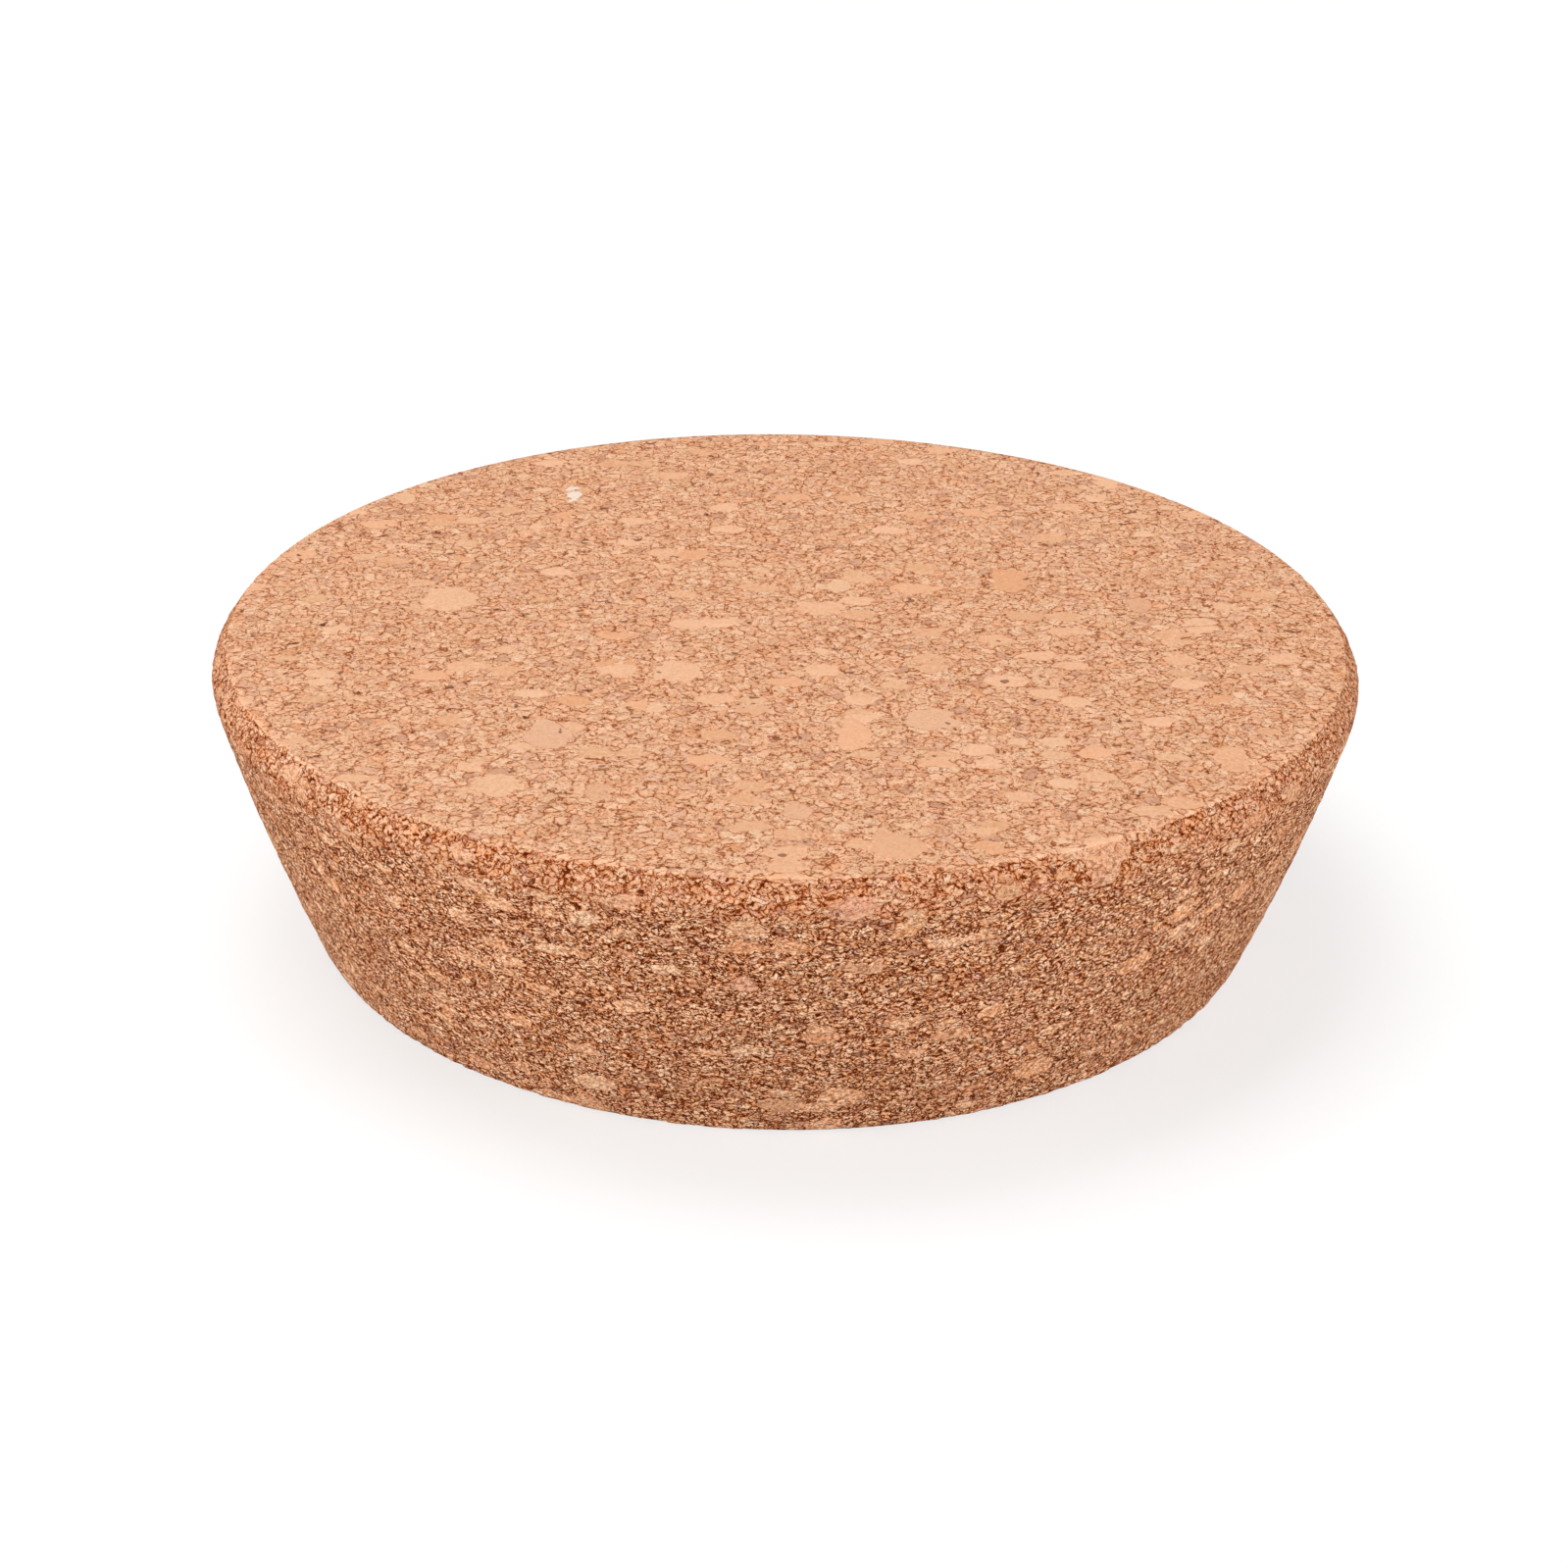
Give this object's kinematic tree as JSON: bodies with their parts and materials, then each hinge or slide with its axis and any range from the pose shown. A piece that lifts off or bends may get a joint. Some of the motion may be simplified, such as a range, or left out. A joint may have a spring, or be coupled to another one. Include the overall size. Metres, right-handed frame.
{
  "type": "tapered cork stopper",
  "caption": "Wide tapered stopper of pressed cork granules, with a bevelled head, that plugs the mouth of a jar.",
  "frame": {"origin": "centre of the flat base, at the stopper's small end", "axes": "+Z along the stopper's axis, from the small end up to the wide top face; X and Y are equivalent"},
  "size_m": [0.1, 0.1, 0.026],
  "materials": {
    "cork": "matt pressed cork, ground and sanded"
  },
  "bodies": {
    "root": {"stopper": "cork"}
  },
  "joints": []
}
